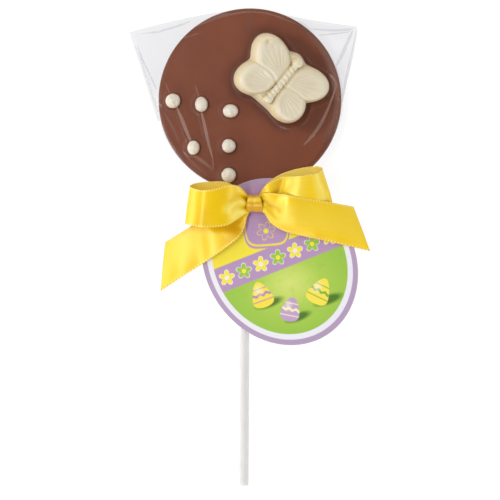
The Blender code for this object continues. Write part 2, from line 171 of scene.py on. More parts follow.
# Pleats in the front film, each with a milky painted sheen for the light it mirrors; a few wide
# ones are soft patches of painted reflection. Half width at both ends, how strongly the sheen
# shows, how soft its edges are, then its line as columns and rows of the photographed frame
PLEATS = (
    (0.15, 0.3, 0.7, 0.0, (164.1, 81), (167, 87), (170.3, 94)),
    (0.3, 0.4, 0.8, 0.0, (171, 96), (174, 103), (177, 109)),
    (0.75, 0.75, 1.2, 0.0, (176.8, 107.5), (181.5, 118.5), (186.4, 131), (191, 142)),
    (0.3, 0.45, 0.35, 0.0, (174, 109), (177.5, 119), (183.5, 134), (187, 143)),
    (0.2, 0.5, 0.7, 0.0, (194.8, 84), (197, 91), (199.5, 98)),
    (0.75, 0.55, 1.2, 0.0, (201.3, 111), (204.6, 125.5), (208.2, 142), (212.8, 158.5)),
    (0.7, 0.4, 0.3, 0.0, (197.5, 112), (201.3, 127), (205.2, 143)),
    (0.5, 0.8, 0.55, 0.5, (159, 103), (167, 117), (174, 130), (180, 143)),
    (0.9, 0.8, 0.55, 0.6, (161, 122), (168, 140), (184, 164)),
    (0.9, 0.8, 0.95, 0.5, (190, 154), (201, 160), (213.5, 170.5)),
    (0.3, 0.45, 0.8, 0.3, (212.5, 158), (213, 164), (213.5, 170.5)),
    (0.2, 0.35, 0.45, 0.2, (330, 115), (320, 128), (308, 143)),
    (0.6, 1.0, 0.6, 0.6, (180, 148), (188, 158), (198, 168), (209, 176)),
    (0.2, 0.15, 0.8, 0.0, (182, 38.4), (190, 36), (199.5, 32.8)),
    (0.85, 0.75, 0.8, 0.2, (193, 28), (205, 22.5), (218, 17.3), (232, 13.4), (246, 11.2),
     (258, 11.2), (272, 14), (284, 19), (296, 24)),
    (0.15, 0.15, 0.6, 0.0, (210, 17), (225, 12.5), (241, 10.2)),
    (0.35, 0.35, 1.6, 0.0, (241, 9), (245, 9.2), (248.6, 9.4)),
    (1.6, 2.6, 0.8, 0.8, (292, 20), (306, 31.5), (316.5, 42), (325, 54), (331.5, 67), (336, 82),
     (338.5, 97), (338, 113), (333, 130), (324, 146)),
    (1.3, 0.7, 0.45, 0.8, (297, 21.5), (307, 28.5), (316, 38)),
    (1.0, 2.2, 0.55, 0.8, (336, 98), (335, 114), (330, 129), (322, 144)),
    (1.4, 2.2, 0.22, 1.0, (256, 13), (250, 22), (246, 34)),
    (1.4, 1.4, 0.12, 1.0, (277, 131), (284, 128), (292, 127.5)),
    (0.15, 0.1, 0.8, 0.0, (332.8, 62.5), (329.5, 68), (326, 73.5)),
    (0.7, 0.5, 0.25, 0.0, (336.2, 67), (333.5, 73), (329.5, 79)),
    (0.3, 0.85, 0.95, 0.0, (337.4, 82), (334, 93), (330.3, 103), (326, 113.5), (320.5, 124),
     (313, 135), (304, 145)),
    (0.3, 0.6, 1.0, 0.2, (140, 33.6), (150, 32.8), (158, 31.8), (166, 29.6), (178, 26),
     (190, 21.5)),
    (0.45, 0.7, 0.9, 0.2, (135, 45), (139.8, 57), (144.5, 71), (149, 84), (153.5, 98), (158, 112)),
    (0.4, 0.5, 0.7, 0.2, (137.5, 46), (142.6, 60), (146.5, 68), (151.5, 79), (156.5, 89)),
    (0.3, 0.65, 0.9, 0.2, (309, 28.6), (320, 29.8), (332, 30.4), (344, 30), (353, 29)),
    (0.35, 0.3, 0.8, 0.2, (319, 35.2), (330, 34.3), (340, 33), (350.5, 31.6)),
    (0.6, 0.9, 0.8, 0.2, (352.6, 31), (349.5, 38), (346, 46), (342, 55), (336.2, 66)),
    (0.5, 0.9, 0.9, 0.2, (357.6, 29), (354.5, 44), (349.7, 65), (344.7, 86), (342, 102)),
)
# points across a pleat as shares of its half width, and how bluntly it ends
PLEAT_OFFSETS = np.array([1.0, 0.6, 0.0, -0.6, -1.0])
PLEAT_BLUNTNESS = 0.4
PLEAT_SLOPE = 0.02
PLEAT_LIFT = 0.03

# Paper stick and neck of the bag
STICK_X_AT_NECK = -2.2
STICK_LEAN = 0.0053
PAPER_TURNS_PER_METRE = 42.0
NECK_Y = -42.6
# distance along Y, half width, half height, depth of the pleats
SKIRT_SECTIONS = (
    (-40.3, 3.3, 3.1, 0.03),
    (-41.2, 3.0, 2.95, 0.05),
    (-44.0, 3.0, 2.95, 0.05),
    (-45.8, 3.9, 3.0, 0.07),
    (-49.0, 7.0, 3.0, 0.10),
    (-54.5, 11.0, 2.9, 0.13),
    (-61.0, 14.4, 2.8, 0.15),
    (-66.4, 16.2, 2.7, 0.17),
)
SKIRT_PLEATS = 9
# finer pleats between them: number, share of the large ones' depth, and start
SKIRT_FINE_PLEATS = (23, 0.25, 0.8)
# waves of the hem: number, height and start, and the place along Y where they begin
HEM_WAVES = (5, 0.5, 1.0)
HEM_START = -60.0

# Oval card tag, with two places on its sloping back as Y and Z
CARD_CENTRE = (12.15, -66.4)
CARD_HALF_LENGTH = 35.7
CARD_HALF_WIDTH = 30.4
CARD_LEAN = radians(33.2)
CARD_THICKNESS = 0.45
CARD_ROUNDING = 0.08
CARD_GAP = 0.02
CARD_BACK_TOP = (-32.0, 8.6)
CARD_BACK_FOOT = (-100.0, 6.5)
CARD_HOLE = (-0.4, NECK_Y)
CARD_HOLE_RADIUS = 2.3
# its print, about the card's centre: band, ring, border, flowers and panel
BAND_TILT = radians(21.7)
BAND_TOP = 7.0
BAND_FOOT = -3.2
BAND_MIDDLE = 1.9
RING_SHARE = 0.868
BORDER_SHARE = 0.934
FLOWER_PITCH = 15.0
PANEL_CENTRE = (-6.0, 22.0)
PANEL_HALF_SIZE = (9.6, 16.5)

# Satin ribbon: one strip, with a turn round the neck, a stem through the card and a knot
RIBBON_WIDTH = 16.0
RIBBON_THICKNESS = 0.26
TICK_PITCH = 1.1
SELVEDGE_WIDTH = 0.75
THREAD_PITCH = 0.3
SELVEDGE_RISE = 0.05
# height, length and seed of its waves
RIBBON_WAVES = (0.10, 13.0, 21)
WRAP_RADIUS = 3.5
WRAP_HALF_WIDTH = 1.9
WRAP_LENGTH = 22.0
STEM_RADIUS = 1.7
STEM_HEIGHTS = (7.0, 11.0)
KNOT_CENTRE = (1.7, NECK_Y, 11.3)
KNOT_HALF_Y = 3.3
KNOT_HALF_Z = 3.1
KNOT_SLANT = 0.38
KNOT_LENGTH = 20.0
# across the knot's band: place, and share of its radius
KNOT_SECTIONS = (
    (-2.3, 0.84), (-2.7, 0.89), (-2.95, 0.94), (-2.95, 0.98), (-2.7, 1.01),
    (-1.9, 1.01), (-1.0, 0.99), (0.0, 0.98), (1.0, 1.0), (1.9, 1.02),
    (2.7, 1.02), (2.95, 0.98), (2.95, 0.94), (2.75, 0.89), (2.3, 0.84),
)
# height, pitch and start of the pleats round the knot
KNOT_PLEATS = ((0.05, 2.7, 0.5), (0.02, 0.85, 0.0))
ROWS_PER_SPAN = 14
STRIP_COLUMNS = 48

# Each strip of the bow as X, Y and Z of its two edges, the one nearer the disc first
LEFT_LOOP = (
    (-0.8, -39.6, 12.0, -0.8, -45.8, 11.4),
    (-4.4, -35.9, 17.0, -4.2, -48.3, 13.4),
    (-9.0, -35.4, 20.7, -9.0, -51.4, 16.3),
    (-14.4, -37.0, 21.6, -15.0, -52.4, 17.2),
    (-19.8, -37.4, 21.0, -21.0, -52.2, 16.6),
    (-24.2, -35.9, 17.6, -26.4, -50.7, 13.0),
    (-21.8, -34.4, 14.0, -23.0, -49.3, 10.4),
    (-16.0, -33.8, 13.3, -16.5, -49.0, 10.2),
    (-10.0, -33.9, 12.9, -10.0, -48.6, 10.2),
    (-5.0, -36.4, 12.0, -4.6, -47.2, 10.3),
    (-0.8, -40.0, 10.8, -0.8, -44.8, 10.2),
)
RIGHT_LOOP = (
    (3.9, -38.9, 12.0, 4.6, -44.6, 11.0),
    (7.4, -34.7, 16.3, 8.6, -46.6, 10.8),
    (12.6, -32.4, 17.2, 14.0, -47.0, 10.6),
    (20.0, -31.5, 19.2, 22.0, -46.0, 12.0),
    (26.2, -30.6, 19.3, 28.8, -45.0, 12.4),
    (29.2, -28.8, 16.2, 33.6, -43.4, 11.3),
    (26.5, -27.6, 13.4, 30.5, -42.0, 10.0),
    (19.6, -28.5, 12.6, 23.0, -42.8, 9.8),
    (12.4, -30.8, 12.2, 15.0, -43.6, 9.8),
    (6.7, -34.7, 11.6, 8.6, -44.0, 9.9),
    (3.9, -38.9, 10.6, 4.6, -43.6, 10.2),
)
LEFT_TAIL = (
    (-0.4, -43.0, 10.9, 0.6, -45.0, 10.9),
    (-5.0, -45.8, 9.7, -1.2, -48.2, 10.9),
    (-10.5, -47.2, 9.7, -2.3, -52.6, 11.2),
    (-15.0, -47.4, 9.6, -5.0, -56.8, 11.6),
    (-19.3, -48.6, 9.1, -9.6, -60.6, 10.8),
    (-25.0, -52.4, 8.3, -17.1, -65.8, 9.2),
    (-30.5, -55.8, 7.1, -27.0, -72.0, 7.5),
    (-34.8, -58.4, 6.2, -36.7, -78.4, 5.0),
)
RIGHT_TAIL = (
    (3.4, -39.2, 12.8, 3.6, -45.0, 11.4),
    (7.0, -38.4, 14.7, 6.0, -46.6, 11.2),
    (11.2, -38.7, 15.1, 8.8, -50.8, 10.2),
    (17.0, -39.4, 15.7, 14.2, -53.9, 9.8),
    (25.0, -40.8, 15.1, 22.2, -56.0, 9.8),
    (34.0, -42.4, 13.7, 31.5, -57.9, 9.4),
    (42.1, -43.9, 11.4, 49.1, -62.0, 8.0),
)

# Soft folds in a strip: from and to, each as distance from the strip's start and share of
# its width, then the fold's half width and its height at both ends, and the strength of the
# painted shade in it (of painted highlight, below 0); some are only painted, with no height
LEFT_LOOP_FOLDS = (
    (-1.0, 0.24, 9.0, 0.40, 0.8, 1.7, -0.4, -0.2, 0.45),
    (-1.0, 0.42, 11.0, 0.58, 0.7, 2.2, 1.0, 0.5, -0.65),
    (-1.0, 0.74, 5.0, 0.70, 0.8, 1.0, -0.3, 0.0, 0.40),
    (-1.0, 0.92, 8.0, 0.84, 0.5, 1.7, 0.7, 0.2, -0.70),
    (-1.0, 0.08, 6.0, 0.12, 0.4, 1.1, 0.7, 0.0, -0.25),
    (34.0, 0.10, 46.0, 0.10, 4.2, 4.2, 0.0, 0.0, -0.70),
    (21.5, 0.64, 22.0, 1.0, 2.6, 2.8, 0.0, 0.0, 0.30),
    (15.0, 0.0, 17.0, 1.0, 3.5, 3.5, 0.0, 0.0, 0.14),
)
RIGHT_LOOP_FOLDS = (
    (10.4, 0.12, 7.0, 0.55, 2.6, 2.2, -1.1, -0.8, 0.0),
    (8.6, 0.10, 6.2, 0.50, 1.9, 1.7, 0.0, 0.0, 0.50),
    (17.8, 0.08, 16.0, 0.50, 3.2, 3.2, 0.6, 0.6, -0.26),
    (14.8, 0.12, 13.0, 0.55, 2.8, 2.8, 0.0, 0.0, -0.32),
    (24.5, 0.0, 25.5, 1.0, 1.7, 1.7, 0.25, 0.25, -0.60),
    (34.0, 0.12, 48.0, 0.12, 4.2, 4.2, 0.0, 0.0, -0.95),
)
LEFT_TAIL_FOLDS = (
    (-1.0, 0.35, 8.0, 0.40, 0.5, 1.6, 0.9, 0.2, -0.15),
    (28.0, -0.06, 11.5, 0.66, 1.9, 2.4, -0.1, -0.2, 0.36),
    (8.0, 0.80, 15.5, 0.92, 3.2, 3.2, 0.0, 0.0, 0.60),
    (18.0, 0.34, 22.5, 1.0, 3.6, 3.8, 0.45, 0.6, -0.22),
    (25.5, 0.50, 29.5, 1.0, 3.0, 3.4, -0.12, -0.15, 0.10),
    (31.0, 0.15, 34.0, 0.60, 4.0, 4.0, 0.0, 0.0, -0.22),
)
RIGHT_TAIL_FOLDS = (
    (-1.0, 0.38, 9.2, 0.48, 0.5, 1.3, -0.5, -0.1, 0.62),
    (-1.0, 0.66, 10.0, 0.88, 0.7, 1.6, 1.0, 0.2, -0.22),
    (14.5, 0.25, 16.0, 0.60, 4.4, 4.6, 0.6, 0.5, 0.0),
    (12.0, 0.42, 13.0, 0.64, 2.6, 2.8, 0.0, 0.0, -0.32),
    (20.0, 0.50, 45.0, 0.50, 9.0, 9.0, 0.0, 0.0, -0.20),
    (10.0, 0.97, 34.0, 0.97, 2.4, 2.8, 0.0, 0.0, 0.26),
)
# the strips in the order of the ribbon's length, and how far each arches across
STRIPS = (
    (LEFT_TAIL, LEFT_TAIL_FOLDS, 0.3),
    (LEFT_LOOP, LEFT_LOOP_FOLDS, 0.0),
    (RIGHT_LOOP, RIGHT_LOOP_FOLDS, 0.3),
    (RIGHT_TAIL, RIGHT_TAIL_FOLDS, 0.9),
)

# Table, lights (name, place, size in metres, watts) and camera
FLOOR_HALF_SIZE = 900.0
FLOOR_GLOW = 0.86
SKY_STRENGTH = 0.86
LIT_PLACE_M = (0.0, -0.05, 0.0)
LIGHTS = (
    ("strip", (-0.40, 0.0, 0.90), (0.9, 0.11), 4.1),
    ("left", (-1.00, -0.10, 0.28), (1.3, 0.30), 4.0),
    ("front", (-0.34, -0.79, 0.48), (0.7, 0.12), 2.2),
    ("right", (0.60, 0.45, 0.75), (0.45, 0.30), 1.8),
    ("right_low", (0.90, -0.50, 0.30), (0.8, 0.30), 1.5),
    ("top_edge", (0.0, 0.95, 0.50), (0.5, 0.2), 0.9),
)
CAMERA_LENS = 131.96
CAMERA_PLACE_M = (0.0, -0.061585, 0.758)


def reckoned(operation, swapped=False):
    """An operator of shader values as a Math node."""
    def operator(self, *others):
        values = (*others, self) if swapped else (self, *others)
        return self.shader.math(operation, *values)
    return operator


class Value:
    """A shader socket that can be reckoned with."""

    __add__ = reckoned("ADD")
    __sub__ = reckoned("SUBTRACT")
    __rsub__ = reckoned("SUBTRACT", swapped=True)
    __mul__ = reckoned("MULTIPLY")
    __pow__ = reckoned("POWER")
    __abs__ = reckoned("ABSOLUTE")

    def __init__(self, shader, socket):
        self.shader = shader
        self.socket = socket

    def spread(self, low, high, to_low=0.0, to_high=1.0):
        """From one range to another, and no further than its ends."""
        return self.shader.add("MapRange", "Result", (self, low, high, to_low, to_high))

    def inside(self, limit, softness):
        """1 where the value is below the limit and 0 above, with a soft edge."""
        return self.spread(limit - softness / 2, limit + softness / 2, 1.0, 0.0)

    def outside(self, limit, softness):
        return 1.0 - self.inside(limit, softness)


class Shader:
    """The node tree of a material or world, with short ways to add nodes and join them."""

    def __init__(self, name, kind="materials", surface="Principled BSDF"):
        self.owner = getattr(bpy.data, kind).new(name)
        self.owner.use_nodes = True
        self.tree = self.owner.node_tree
        self.surface = self.tree.nodes[surface]

    def feed(self, socket, value):
        if isinstance(value, Value):
            self.tree.links.new(value.socket, socket)
        else:
            socket.default_value = value

    def add(self, kind, output, inputs=(), **settings):
        """One output of a new node, fed by name or in order."""
        made = self.tree.nodes.new("ShaderNode" + kind)
        for key, value in settings.items():
            setattr(made, key, value)
        named = inputs if isinstance(inputs, dict) else dict(enumerate(inputs))
        for key, value in named.items():
            self.feed(made.inputs[key], value)
        return Value(self, made.outputs[output])

    def finish(self, **values):
        """The material or world, with values for its surface, where _ is a space."""
        for key, value in values.items():
            self.feed(self.surface.inputs[key.replace("_", " ")], value)
        return self.owner

    def math(self, operation, *values):
        return self.add("Math", 0, values, operation=operation)

    def mix(self, share, first, second):
        return self.add("Mix", 2, {0: share, 6: first, 7: second}, data_type="RGBA")

    def mottled(self, noise, first, second, low=0.3, high=0.7):
        """A colour that wanders from one to another with a noise."""
        return self.mix(noise.spread(low, high), first, second)

    def axis(self, name, places):
        return self.add("SeparateXYZ", name, (places,))

    def stretched(self, places, scale):
        return self.add("Mapping", "Vector", {"Vector": places, "Scale": scale})

    def places(self):
        """The object's own coordinates in metres."""
        return self.add("TexCoord", "Object")

    def noise(self, per_metre, detail=3.0, roughness=0.5, places=None):
        return self.add("TexNoise", "Fac", {
            "Vector": places or self.places(), "Scale": per_metre, "Detail": detail,
            "Roughness": roughness})

    def attribute(self, name):
        return self.add("Attribute", "Fac", attribute_name=name)

    def bump(self, height, distance_mm, strength):
        return self.add("Bump", "Normal", {
            "Height": height, "Strength": strength, "Distance": distance_mm * MM})


def linear(channel):
    share = channel / 255
    return share / 12.92 if share <= 0.04045 else ((share + 0.055) / 1.055) ** 2.4


def colour(red, green, blue):
    return (linear(red), linear(green), linear(blue), 1.0)


def catmull_rom(points, per_span):
    """Smooth line through points, with per_span steps from each to the next."""
    points = np.asarray(points, float)
    padded = np.concatenate([points[:1], points, points[-1:]])
    t = np.arange(per_span)[:, None] / per_span
    spans = [0.5 * (2 * start + (end - before) * t
                    + (2 * before - 5 * start + 4 * end - after) * t ** 2
                    + (3 * start - before - 3 * end + after) * t ** 3)
             for before, start, end, after in zip(padded, padded[1:], padded[2:], padded[3:])]
    return np.vstack([*spans, points[-1:]])


def unit(vectors):
    return vectors / np.maximum(np.linalg.norm(vectors, axis=-1, keepdims=True), 1e-9)


def turned(x, y, angle):
    """A place in axes turned by an angle."""
    return x * cos(angle) + y * sin(angle), y * cos(angle) - x * sin(angle)


def smooth_step(low, high, value):
    share = np.clip((value - low) / (high - low), 0.0, 1.0)
    return share * share * (3 - 2 * share)


def bell(away, reach):
    """1 at no distance, falling away over the reach."""
    return np.exp(-(away / reach) ** 2)


def ripples(x, y, length, seed):
    """Gentle uneven waves of about unit height, from a few sines with seeded directions."""
    draw = np.random.default_rng(seed)
    total = np.zeros_like(x)
    for _ in range(6):
        heading = draw.uniform(0, 2 * pi)
        pitch = 2 * pi / (length * draw.uniform(0.6, 1.6))
        phase = draw.uniform(0, 2 * pi)
        total = total + np.sin((x * cos(heading) + y * sin(heading)) * pitch + phase)
    return total / 3


def full_turn(sides, start=0.0):
    return np.linspace(start, start + 2 * pi, sides, endpoint=False)


def grid(*parts):
    """Numbers side by side at each point of a grid."""
    return np.stack(np.broadcast_arrays(*parts), axis=-1)


class Patch:
    """A grid of points in millimetres, with its lengths of cloth and its masks."""

    def __init__(self, points, wrap=False, caps=False, lengths=None, **masks):
        self.points = points
        self.wrap = wrap
        self.caps = caps
        self.lengths = lengths
        self.masks = {name: np.broadcast_to(mask, points.shape[:2])
                      for name, mask in masks.items()}

    def faces(self, first):
        rows, columns = self.points.shape[:2]
        index = first + np.arange(rows * columns).reshape(rows, columns)
        ends = [index[0][::-1].tolist(), index[-1].tolist()] if self.caps else []
        if self.wrap:
            index = np.hstack([index, index[:, :1]])
        quads = grid(index[:-1, :-1], index[:-1, 1:], index[1:, 1:], index[1:, :-1])
        return quads.reshape(-1, 4).tolist() + ends


def add_object(name, data):
    made = bpy.data.objects.new(name, data)
    bpy.context.scene.collection.objects.link(made)
    return made


def build(name, material, *patches):
    """One smooth object from patches."""
    vertices, faces = [], []
    for patch in patches:
        faces += patch.faces(sum(len(v) for v in vertices))
        vertices.append(patch.points.reshape(-1, 3))
    mesh = bpy.data.meshes.new(name)
    mesh.from_pydata((np.vstack(vertices) * MM).tolist(), [], faces)
    for mask in patches[0].masks:
        values = np.concatenate([patch.masks[mask].ravel() for patch in patches])
        mesh.attributes.new(mask, "FLOAT", "POINT").data.foreach_set(
            "value", values.astype(np.float32))
    if patches[0].lengths is not None:
        places = np.vstack([patch.lengths.reshape(-1, 2) for patch in patches])
        corners = np.empty(len(mesh.loops), np.int32)
        mesh.loops.foreach_get("vertex_index", corners)
        mesh.uv_layers.new(name="cloth").data.foreach_set(
            "uv", places[corners].ravel().astype(np.float32))
    mesh.materials.append(material)
    mesh.shade_smooth()
    return add_object(name, mesh)


def on_root(made):
    """A visible piece rides on the part's one body."""
    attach(made, "root")
    return made


def final_mesh(item):
    """An object's mesh as its modifiers or its curve settings leave it."""
    graph = bpy.context.evaluated_depsgraph_get()
    return bpy.data.meshes.new_from_object(item.evaluated_get(graph))


def stick_x(y):
    return STICK_X_AT_NECK + STICK_LEAN * (y - NECK_Y)


def lobe_depth(along, across, lobe):
    """How far inside an oval's outline each point lies, and its share of the radius."""
    centre_along, centre_across, half_length, half_width, turn = lobe
    p, q = turned(along - centre_along, across - centre_across, turn)
    share = np.maximum(np.hypot(p / half_length, q / half_width), 1e-6)
    steepness = np.hypot(p / half_length ** 2, q / half_width ** 2) / share
    return (1 - share) / np.maximum(steepness, 1e-6), share


def outline_depth(along, across):
    """How far inside the butterfly's outline each point lies."""
    lobes = [*LEFT_WINGS, *RIGHT_WINGS, BODY_PLATE, HEAD_PLATE, TAIL_WEB]
    depths = np.array([lobe_depth(along, across, lobe)[0] for lobe in lobes])
    deepest = depths.max(axis=0)
    return deepest + OVAL_BLEND * np.log(np.exp((depths - deepest) / OVAL_BLEND).sum(axis=0))


def rounded_rise(depth, shoulder):
    """Share of the full height at a depth inside an outline, steep at first."""
    return 1 - (1 - np.clip(depth / shoulder, 0.0, 1.0)) ** 3


def wing_relief(along, across, wings, side):
    """Height of the two wings on one side: flat faces with a rim, grooves and a valley."""
    beside = across - side * GROOVE_SIDE
    heights, depths = [], []
    for lobe, dish, root in zip(wings, WING_DISHES, WING_ROOTS):
        depth = lobe_depth(along, across, lobe)[0]
        share = lobe_depth(along, across - DISH_SHIFT, lobe)[1]
        from_root = np.hypot(along - root, beside)
        grooves = np.maximum(np.cos(GROOVES_ROUND * np.arctan2(beside, along - root)), 0.0) ** 4
        grooves *= smooth_step(*GROOVES_START, from_root) * smooth_step(*GROOVES_END, share)
        height = BUTTERFLY_HEIGHT * rounded_rise(depth + WING_SPREAD, WING_SHOULDER)
        heights.append(height - dish * smooth_step(*DISH_END, share) - GROOVE_DEPTH * grooves)
        depths.append(depth)
    valley = bell(depths[0] - depths[1], VALLEY_WIDTH)
    valley *= smooth_step(*SET_IN, np.minimum(*depths))
    return np.maximum(*heights) - VALLEY_DEPTH * valley


def wing_pit(along, across):
    """The pit near one wing's tip, 1 in its middle."""
    a, c = along - WING_PIT[0], across - WING_PIT[1]
    half_width, half_length = PIT_HALF_SIZE
    return bell(a * 0.4 + c * 0.9, half_width) * bell(a * 0.9 - c * 0.4, half_length)


def body_channel(along, across):
    """The sunk strip that the body lies in, 1 in its middle."""
    channel = np.exp(-(np.maximum(np.abs(across) - CHANNEL_HALF_WIDTH, 0.0) / CHANNEL_SLOPE) ** 3)
    for end in CHANNEL_ENDS:
        channel *= smooth_step(*end, along)
    return channel * smooth_step(*SET_IN, outline_depth(along, across))


def butterfly_relief(along, across):
    """Height of the butterfly's top in its own axes, 0 outside it."""
    depth = outline_depth(along, across)
    top = BASE_SHARE * BUTTERFLY_HEIGHT * rounded_rise(depth, BASE_SHOULDER)
    for side, wings in ((-1, LEFT_WINGS), (1, RIGHT_WINGS)):
        top = np.maximum(top, wing_relief(along, across, wings, side))
    top = top - CHANNEL_DEPTH * body_channel(along, across)
    (tail, tail_radius), (head, head_radius) = TAIL_BALL, HEAD_BALL
    least, added, pitch, slant = BEADS
    beads = least + added * np.sqrt(np.abs(np.cos(pi * (along + slant * across) / pitch)))
    beyond = np.maximum(np.maximum(along - head, tail - along), 0.0)
    for away, radius in ((np.hypot(across, beyond), beads),
                         (np.hypot(along - tail, across), tail_radius),
                         (np.hypot(along - head, across), head_radius)):
        dome = BODY_TOP - BODY_RADIUS + np.sqrt(np.maximum(radius ** 2 - away ** 2, 0.0))
        top = np.where(away < radius, np.maximum(top, dome), top)
    return np.maximum(top - PIT_DEPTH * wing_pit(along, across), 0.0)


def butterfly_axes(x, y):
    """From places on the disc to distances along and across the butterfly's body."""
    along, across = turned(x - BUTTERFLY_CENTRE[0], y - BUTTERFLY_CENTRE[1], BUTTERFLY_HEADING)
    return along, -across


def butterfly_places(along, across, height):
    across = across + BUTTERFLY_LEAN * np.maximum(height, 0.0) / BUTTERFLY_HEIGHT
    x, y = turned(along, across, BUTTERFLY_HEADING)
    return grid(BUTTERFLY_CENTRE[0] + x, BUTTERFLY_CENTRE[1] - y, DISC_FACE + height)


def pearl_share(x, y, pearl):
    """Distance from a pearl's centre as a share of its radius."""
    return np.hypot((x - pearl[0]) / (pearl[2] / 2), (y - pearl[1]) / (pearl[3] / 2))


def face_height(x, y):
    """Chocolate face: slightly uneven, and drawn up a little round each topping."""
    height = DISC_FACE + sum(rise * ripples(x, y, length, seed)
                             for rise, length, seed in FACE_WAVES)
    rise, reach = PEARL_COLLAR
    for pearl in PEARLS:
        away = (pearl_share(x, y, pearl) - 0.9) * (pearl[2] + pearl[3]) / 4
        height = height + rise * bell(away, reach)
    rise, reach = BUTTERFLY_COLLAR
    return height + rise * bell(np.minimum(outline_depth(*butterfly_axes(x, y)), 0.0), reach)


def face_shade(x, y):
    """Painted shade beside the toppings, and a painted shadow cast to the right of the butterfly.
    """
    shades = [np.exp(np.minimum(outline_depth(*butterfly_axes(x, y)) + 1.2, 0.0) / 2.0)]
    # painted shadow: the butterfly's outline moved right and down, fading over the reach
    for shift, strength in BUTTERFLY_SHADE:
        beside = outline_depth(*butterfly_axes(x - shift, y + 0.25 * shift))
        shades.append(strength * bell(np.minimum(beside - 0.5, 0.0), BUTTERFLY_SHADE_REACH))
    strength, reach = PEARL_SHADE
    for pearl in PEARLS:
        away = np.maximum(pearl_share(x, y, pearl) - 1.0, 0.0) * USUAL_PEARL_RADIUS
        shades.append(strength * np.exp(-away / reach))
    return np.max(shades, axis=0)


def make_disc():
    """Moulded disc, from the middle of its back round the rounded edge to the face."""
    bend = [(DISC_FLAT_RADIUS + DISC_FILLET * sin(t), DISC_FILLET * (1 - cos(t)))
            for t in np.radians(np.linspace(0, 90, 8))]
    profile = [(r, DISC_BACK) for r in np.linspace(DISC_CAP, DISC_FLAT_RADIUS, 40)[:-1]]
    profile += [(r, DISC_BACK + h) for r, h in bend] + [(DISC_RADIUS, MID_HEIGHT)]
    profile += [(r, DISC_FACE - h) for r, h in bend[::-1]]
    profile += [(r, DISC_FACE) for r in np.linspace(DISC_FLAT_RADIUS, DISC_CAP, 76)[1:]]
    radius, height = np.array(profile).T[:, :, None]
    turn = full_turn(DISC_SIDES)
    x, y = radius * np.cos(turn), radius * np.sin(turn)
    on_face = smooth_step(DISC_FLAT_RADIUS + 0.2, DISC_FLAT_RADIUS - 2, radius)
    on_face = on_face * (height > DISC_FACE - 0.01)
    z = height + on_face * (face_height(x, y) - DISC_FACE)
    # painted shade on the rounded edge, and painted shade and shadow beside the toppings
    rim = RIM_SHADE * smooth_step(DISC_FLAT_RADIUS - 1.0, DISC_FLAT_RADIUS + 0.6, radius)
    patch = Patch(grid(x, y, z), wrap=True, caps=True,
                  topping_shade=np.maximum(face_shade(x, y) * on_face, rim))
    disc = on_root(build("chocolate_disc", chocolate(), patch))
    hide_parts("bagged_chocolate")


def chocolate():
    shader = Shader("chocolate")
    base = shader.mottled(shader.noise(45.0, 4.0, 0.55),
                          colour(126, 69, 46), colour(135, 75, 51), 0.35)
    # darker brown where the painted shade and shadow lie
    base = shader.mix(shader.attribute("topping_shade") * 0.62, base, colour(78, 42, 27))
    return shader.finish(
        Base_Color=base, Roughness=shader.noise(160.0).spread(0.3, 0.7, 0.36, 0.46),
        Specular_IOR_Level=0.25, Subsurface_Weight=0.05, Subsurface_Scale=0.0008,
        Normal=shader.bump(shader.noise(1500.0, 2.0), 0.02, 0.5))


def make_butterfly():
    """Rings of points from the outline inwards, so its walls stay crisp."""
    turn = full_turn(BUTTERFLY_SIDES)
    probes = np.linspace(0.0, 24.0, 1601)
    depth = outline_depth(probes[:, None] * np.cos(turn), probes[:, None] * np.sin(turn))
    last = len(probes) - 1 - np.argmax(depth[::-1] > 0, axis=0)
    column = np.arange(BUTTERFLY_SIDES)
    share = depth[last, column] / (depth[last, column] - depth[last + 1, column])
    outline = probes[last] + share * (probes[1] - probes[0])
    insets = np.concatenate([[0.0, 0.0], np.linspace(0.05, 2.0, 22), np.linspace(2.2, 4.4, 12)])
    core = outline - insets[-1]
    radius = np.vstack([outline - insets[:, None], core * np.linspace(1.0, 0.02, 60)[1:, None]])
    along, across = radius * np.cos(turn), radius * np.sin(turn)
    height = butterfly_relief(along, across)
    height[0] = BUTTERFLY_FOOT
    height[1] = 0.0
    # painted shade on the walls, the low base, the channel beside the body and the pit
    hollow_shade = np.clip((BUTTERFLY_HEIGHT * 0.97 - height) / HOLLOW_SHADE_DEPTH, 0.0, 1.0)
    beside_body = body_channel(along, across) * smooth_step(1.1, 1.7, np.abs(across))
    hollow_shade = np.maximum(hollow_shade, PIT_SHADE * wing_pit(along, across))
    hollow_shade = np.maximum(hollow_shade, CHANNEL_SHADE * beside_body)
    patch = Patch(butterfly_places(along, across, height), wrap=True, caps=True, hollow_shade=hollow_shade)
    butterfly = on_root(build("butterfly", white_chocolate(), patch))
    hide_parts("bagged_chocolate")


def white_chocolate():
    shader = Shader("white_chocolate")
    base = shader.mottled(shader.noise(120.0, 4.0),
                          colour(226, 214, 185), colour(233, 223, 198), 0.35)
    # tan where the painted shade lies
    base = shader.mix(shader.attribute("hollow_shade") * 0.42, base, colour(214, 189, 130))
    return shader.finish(
        Base_Color=base, Roughness=0.42, Specular_IOR_Level=0.4, Subsurface_Weight=0.12,
        Subsurface_Scale=0.0012, Normal=shader.bump(shader.noise(1100.0), 0.03, 0.5))


def make_pearls():
    """Sugar pearls pressed into the face, each slightly out of round."""
    material = pearl_sugar()
    turn = full_turn(56)
    rise = np.radians(np.linspace(-88, 88, 30))[:, None]
    ball = grid(np.cos(rise) * np.cos(turn), np.cos(rise) * np.sin(turn), np.sin(rise))
    for number, (x, y, width, length) in enumerate(PEARLS, 1):
        radius = (width + length) / 4
        waves = ripples(ball[..., 0] * 3 + number, ball[..., 1] * 3, 3.2, number)
        points = ball * (1 + PEARL_UNEVEN * waves[..., None])
        points = points * (width / 2, length / 2, PEARL_FLATTEN * radius)
        points += (x, y, DISC_FACE + PEARL_RISE * radius)
        patch = Patch(points, wrap=True, caps=True)
        on_root(build(f"pearl_{number}", material, patch))


